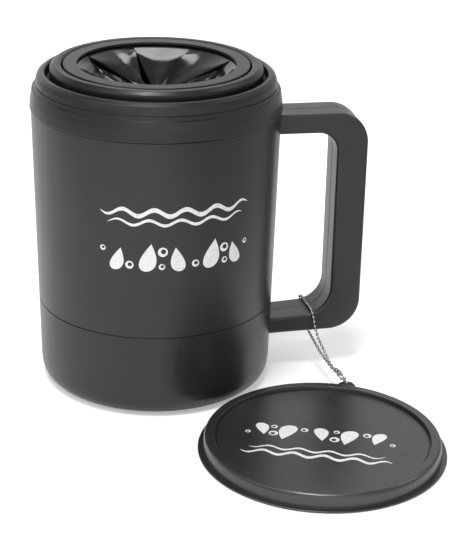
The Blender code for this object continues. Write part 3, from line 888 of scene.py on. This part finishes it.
def handle_edge():
    """One rounded edge of half of the grip: (depth in the loop's plane, distance from y = 0)."""
    half, steps = HANDLE_W / 2, 6
    pts = [(GRIP_GROOVE, 0.0), (0.0, GRIP_GROOVE)]
    for k in range(steps + 1):
        a = math.radians(90 * k / steps)
        pts.append((GRIP_EDGE - GRIP_EDGE * math.cos(a),
                    half - GRIP_EDGE + GRIP_EDGE * math.sin(a)))
    return pts


def make_handle_half(name, side, mat, node):
    """One of the grip's two shells: its section swept round the D."""
    (up_in, up_out), (low_out, low_in) = ARM_TOP, ARM_LOW
    outer = loop_edge(HANDLE_OUT, up_out, 21.0, low_out, 21.0)
    inner = loop_edge(HANDLE_IN, up_in, 13.0, low_in, 19.0)
    edge = handle_edge()
    bm = bmesh.new()
    rings = []
    for (ox, oz), (ix, iz) in zip(outer, inner):
        to_in = Vector((ix - ox, iz - oz))
        width = to_in.length
        to_in.normalize()
        ring = []
        for depth, y in edge:
            p = Vector((ox, oz)) + to_in * depth
            ring.append((p.x, side * y, p.y))
        for depth, y in reversed(edge):
            p = Vector((ox, oz)) + to_in * (width - depth)
            ring.append((p.x, side * y, p.y))
        rings.append([bm.verts.new(p) for p in ring])
    bridge(bm, rings)
    bm.faces.new(rings[0])
    bm.faces.new(rings[-1])
    ob = mesh_object(name, bm, mat)
    even_normals(ob)
    return stand_for(ob, "mug", "handle_plastic", node)


# ---------------- lid

FACE_Z = 7.7               # height of the lid's printed face


def make_lid(mat):
    """The lid: a brim, a rounded wall, a raised rim round the face, and the ear."""
    lid_z = LID_LOW.z
    lid = turned("lid_shell", [
        (0, 5.7), (70.4, 5.7, 1.0), (71.1, 1.2, 0.5), (72.0, lid_z, 0.5), (76.7, lid_z, 0.25),
        (77.1, 0.3, 0.2), (77.1, 0.9, 0.3), (76.7, 1.3, 0.3), (73.9, 1.3), (73.75, 1.6),
        (73.4, 7.6, 2.0), (72.8, 9.2, 1.0), (71.8, 9.9, 0.8), (66.9, 9.9, 0.35), (66.5, 7.1, 0.15),
        (65.9, 7.1, 0.15), (65.6, FACE_Z, 0.3), (0, FACE_Z),
    ], mat, closed=False, centre=(LID_X, LID_Y))
    stand_for(lid, "lid", "lid_plastic", "lid")
    ear = ear_plate(mat)
    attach(ear, "lid")


def ear_plate(mat):
    """The chamfered tab with its rounded chain hole."""
    half, chamfer, end = EAR_W / 2, 3.0, EAR_R[1]
    bevel = 0.35           # broken edges round the rim and the hole
    corners = [(EAR_R[0], -half), (end - chamfer, -half), (end, chamfer - half),
               (end, half - chamfer), (end - chamfer, half), (EAR_R[0], half)]
    sides = 48
    hole, rim = [], []
    for k in range(sides):
        d = Vector(polar(1, 2 * math.pi * k / sides))
        hole.append((EAR_HOLE_R + d.x * EAR_HOLE, d.y * EAR_HOLE))
        rim.append(reach_edge(Vector((EAR_HOLE_R, 0)), d, corners))
    downwards = ((bevel, EAR_T / 2), (0.0, EAR_T / 2 - bevel), (0.0, bevel - EAR_T / 2),
                 (bevel, -EAR_T / 2))
    loops = [[ear_point(*toward_hole(p, shrink), lift) for p in rim]
             for shrink, lift in downwards]
    loops += [[ear_point(*toward_hole(p, -grow), lift) for p in hole]
              for grow, lift in reversed(downwards)]
    bm = bmesh.new()
    rings = [[bm.verts.new(p + Vector((LID_X, LID_Y, 0))) for p in loop] for loop in loops]
    bridge(bm, rings + rings[:1])
    ob = mesh_object("lid_ear", bm, mat)
    even_normals(ob)
    return ob


def toward_hole(p, amount):
    """Move a point of the ear's plane towards the hole's centre."""
    d = Vector((EAR_HOLE_R - p[0], -p[1])).normalized()
    return p[0] + d.x * amount, p[1] + d.y * amount


def reach_edge(start, direction, corners):
    """Where a ray from inside a convex outline meets it."""
    best = None
    for p, q in zip(corners, corners[1:] + corners[:1]):
        edge = Vector((q[0] - p[0], q[1] - p[1]))
        det = direction.x * -edge.y + edge.x * direction.y
        if abs(det) < 1e-9:
            continue
        dx, dy = p[0] - start.x, p[1] - start.y
        t = (dx * -edge.y + edge.x * dy) / det
        if t > 0 and (best is None or t < best):
            best = t
    return (start.x + direction.x * best, start.y + direction.y * best)


# ---------------- print

INK_T = 0.10               # height of the ink's face above the surface
RIPPLES = ((2.1, 3.0), (1.7, 2.0))     # height and line width of each ripple
# Drops: place across as a share of the width, height, and lean.
DROPS = ((-0.40, 15.0, 0.5), (-0.20, 18.5, 0.35), (0.01, 16.0, -0.3), (0.21, 19.0, 0.4),
         (0.41, 14.5, -0.45))
# Bubbles: place across as a share of the width, radius, and height above the drops' feet.
BUBBLES = ((-0.305, 2.6, 4.0), (-0.095, 3.1, 13.0), (-0.10, 2.0, 3.2), (0.115, 2.4, 4.4),
           (0.315, 3.0, 12.0), (0.32, 2.1, 3.4), (-0.48, 1.8, 13.5), (0.485, 1.7, 12.5))


def drop_outline(height, lean=0.0, points=44):
    """A water drop, point up, with its centre at the origin."""
    out = []
    for i in range(points):
        a = 2 * math.pi * i / points
        y = -math.cos(a)
        taper = math.sin((math.pi - a if a < math.pi else a - math.pi) / 2) ** 1.25
        x = 0.78 * math.sin(a) * taper
        out.append((x * height / 2 + lean * (y + 1) * height / 4, y * height / 2))
    return out


def circle_outline(r, points=32):
    return [polar(r, 2 * math.pi * i / points) for i in range(points)]


class Stencil:
    """Flat ink shapes, collected as verts and faces in a (u, v) plane."""

    def __init__(self):
        self.verts, self.faces = [], []

    def blob(self, outline, at, hole=None, rings=7):
        """A filled shape, or one with a matching hole outline of the same point count."""
        n = len(outline)
        base = len(self.verts)
        for i in range(rings + 1):
            f = i / rings
            for k, (x, y) in enumerate(outline):
                inner = hole[k] if hole else (0.0, 0.0)
                self.verts.append((at[0] + inner[0] + (x - inner[0]) * f,
                                   at[1] + inner[1] + (y - inner[1]) * f))
        for i in range(rings):
            for k in range(n):
                a, b = base + i * n + k, base + i * n + (k + 1) % n
                self.faces.append((a, b, b + n, a + n))

    def stroke(self, centre_line, widths):
        """A line of changing width."""
        base = len(self.verts)
        for (x, y), w in zip(centre_line, widths):
            self.verts += [(x, y + w / 2), (x, y), (x, y - w / 2)]
        for i in range(len(centre_line) - 1):
            a = base + 3 * i
            self.faces += [(a, a + 1, a + 4, a + 3), (a + 1, a + 2, a + 5, a + 4)]

    def mesh(self, name, place, mat):
        """Lay the shapes out with place(u, v, height), just off the surface."""
        bm = bmesh.new()
        add_faces(bm, [place(u, v, INK_T) for u, v in self.verts], self.faces)
        bmesh.ops.remove_doubles(bm, verts=bm.verts, dist=1e-4)
        bmesh.ops.recalc_face_normals(bm, faces=bm.faces)
        return mesh_object(name, bm, mat)


def splash_motif(width, height):
    """Two ripples over a row of leaning drops and bubbles, centred on the origin."""
    art = Stencil()
    count, waves = 120, 5
    for level, (amplitude, thick) in enumerate(RIPPLES):
        y0 = height / 2 - 3.5 - 6.4 * level
        reach = width * (0.5 - 0.05 * level)
        xs = [-reach + 2 * reach * i / count for i in range(count + 1)]
        centre = [(x, y0 + amplitude * math.sin(x / width * 2 * math.pi * waves + level))
                  for x in xs]
        widths = [max(0.15, thick * (1 - (x / reach) ** 4) ** 0.6) for x in xs]
        art.stroke(centre, widths)
    base = -height / 2
    for share, size, lean in DROPS:
        art.blob(drop_outline(size, lean), (share * width, base + size / 2))
    for share, r, up in BUBBLES:
        outer = circle_outline(r)
        inner = [(x * 0.52 + 0.12 * r, y * 0.52 + 0.12 * r) for x, y in outer]
        art.blob(outer, (share * width, base + up), hole=inner, rings=3)
    return art


PRINT_AZIMUTH = -88.5      # direction the print on the cup faces, degrees
PRINT_Z = 123.0
PRINT_W, PRINT_H = 98.0, 42.0
LID_PRINT_SIZE = 0.95      # of the size on the cup
LID_PRINT_TURN = 160.0
LID_PRINT_AT = (-4.0, -7.0)


def make_prints(mat):
    """The white prints on the cup's front and on the lid's face."""
    def on_wall(u, v, height):
        z = PRINT_Z + v
        r = wall_r(z)
        a = math.radians(PRINT_AZIMUTH) + u / r
        return *polar(r + height, a), z

    front = splash_motif(PRINT_W, PRINT_H).mesh("front_print", on_wall, mat)
    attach(front, "mug")

    turn = Matrix.Rotation(math.radians(LID_PRINT_TURN), 2)

    def on_lid(u, v, height):
        p = turn @ Vector((u, v)) + Vector(LID_PRINT_AT)
        return (LID_X + p.x, LID_Y + p.y, FACE_Z + height)

    art = splash_motif(PRINT_W * LID_PRINT_SIZE, PRINT_H * LID_PRINT_SIZE)
    face = art.mesh("lid_print", on_lid, mat)
    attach(face, "lid")


# ---------------- studio

FLOOR_HALF = 12000         # half of the floor's width
FLOOR_GAP = 0.2            # between the floor and the pad


def make_floor():
    bm = bmesh.new()
    bmesh.ops.create_grid(bm, x_segments=8, y_segments=8, size=FLOOR_HALF)
    floor = mesh_object("studio_floor", bm, studio_floor(), smooth=False)
    floor.location.z = -FLOOR_GAP * MM


# Softboxes far enough away to light the whole floor evenly: azimuth, elevation and width in
# degrees, and how bright the box itself looks.
SOFTBOXES = {
    "top_box": (-120.0, 74.0, 16.0, 26.0),
    "back_box": (78.0, 51.0, 20.0, 4.5),
    "left_box": (-160.0, 42.0, 36.0, 2.2),
    "right_box": (5.0, 45.0, 24.0, 2.6),
}


def make_softboxes():
    for name, (azimuth, elevation, width, bright) in SOFTBOXES.items():
        data = bpy.data.lights.new(name, "SUN")
        data.angle = math.radians(width)
        data.energy = bright * math.pi * math.sin(math.radians(width / 2)) ** 2
        ob = add_object(name, data)
        a, e = math.radians(azimuth), math.radians(elevation)
        toward_light = Vector((*polar(math.cos(e), a), math.sin(e)))
        ob.rotation_euler = toward_light.to_track_quat("Z", "Y").to_euler()


# Brightness of the surround by height (0.5 is the horizon, 1 overhead), its factor from the far
# side (0) to the handle's side (1), and how much brighter it is in front, from FRONT_FULL on.
SURROUND = ((0.50, 1.05), (0.66, 1.15), (0.74, 0.85), (0.82, 0.34), (1.0, 0.27))
SURROUND_SIDES = ((0.0, 0.30), (0.10, 0.35), (0.28, 1.0), (0.5, 1.0), (0.88, 0.45), (1.0, 0.35))
FRONT_BRIGHT = 1.3
FRONT_FULL = -0.8


def make_world():
    """A white surround that dims overhead and to both sides, as in a cove with a dark ceiling."""
    world = bpy.data.worlds.new("studio")
    world.use_nodes = True
    sky = Nodes(world.node_tree)

    def graded(source, stops):
        """Brightness by a direction's -1 to 1 share along one axis."""
        made = sky.add("ShaderNodeValToRGB")
        sky.link(sky.ramp(source, at=(-1.0, 1.0)), made.inputs["Fac"])
        while len(made.color_ramp.elements) < len(stops):
            made.color_ramp.elements.new(0.5)
        for stop, (position, bright) in zip(made.color_ramp.elements, stops):
            stop.position = position
            stop.color = (bright, bright, bright, 1.0)
        return made.outputs["Color"]

    split = sky.add("ShaderNodeSeparateXYZ")
    sky.link(sky.add("ShaderNodeTexCoord").outputs["Generated"], split.inputs["Vector"])
    both = sky.add("ShaderNodeMix", {"Factor": 1.0}, data_type="RGBA", blend_type="MULTIPLY")
    sky.link(graded(split.outputs["Z"], SURROUND), both.inputs["A"])
    sky.link(graded(split.outputs["X"], SURROUND_SIDES), both.inputs["B"])
    back = sky.tree.nodes["Background"]
    sky.link(both.outputs["Result"], back.inputs["Color"])
    front = sky.ramp(split.outputs["Y"], FRONT_BRIGHT, 1.0, (FRONT_FULL, 0.0))
    sky.link(front, back.inputs["Strength"])
    bpy.context.scene.world = world


def make_studio():
    make_floor()
    make_world()
    make_softboxes()
    bpy.context.scene.view_settings.view_transform = "Standard"


# ---------------- assembly

def build():
    make_camera()
    make_chain(plated("chain_nickel"))
    make_wall(moulded("wall_plastic", (0.0100, 0.0100, 0.0104), 0.35))
    make_boot(moulded("boot_plastic", (0.0080, 0.0080, 0.0083), 0.34))
    make_collar(moulded("collar_plastic", (0.0095, 0.0095, 0.0098), 0.36))
    make_pad(matt_rubber("pad_rubber", (0.012, 0.012, 0.012)))
    dull = {"grain": 0.05, "specular": 0.40}
    make_mouth(moulded("flange_plastic", (0.0065, 0.0065, 0.0068), 0.37, **dull),
               moulded("bezel_plastic", (0.0070, 0.0070, 0.0073), 0.38, **dull),
               gloss_rubber("petal_silicone", (0.005, 0.005, 0.0055), 0.14),
               matt_rubber("gasket_rubber", (0.014, 0.014, 0.014)))
    make_liner(moulded("liner_plastic", (0.050, 0.050, 0.053), 0.45))
    nylon = filament("bristle_nylon", (0.42, 0.44, 0.45))
    make_panels(nylon)
    make_floor_brush(nylon)
    grip = moulded("grip_plastic", (0.0215, 0.0205, 0.0228), 0.36)
    make_handle_half("grip_front", -1, grip, "handle_front")
    make_handle_half("grip_rear", 1, grip, "handle_rear")
    # The lid's plastic is given a lighter colour than the cup's as painted light, to brighten its face.
    make_lid(moulded("lid_plastic", (0.0200, 0.0200, 0.0213), 0.30, specular=0.75))
    make_prints(ink("white_ink"))
    make_studio()


build()
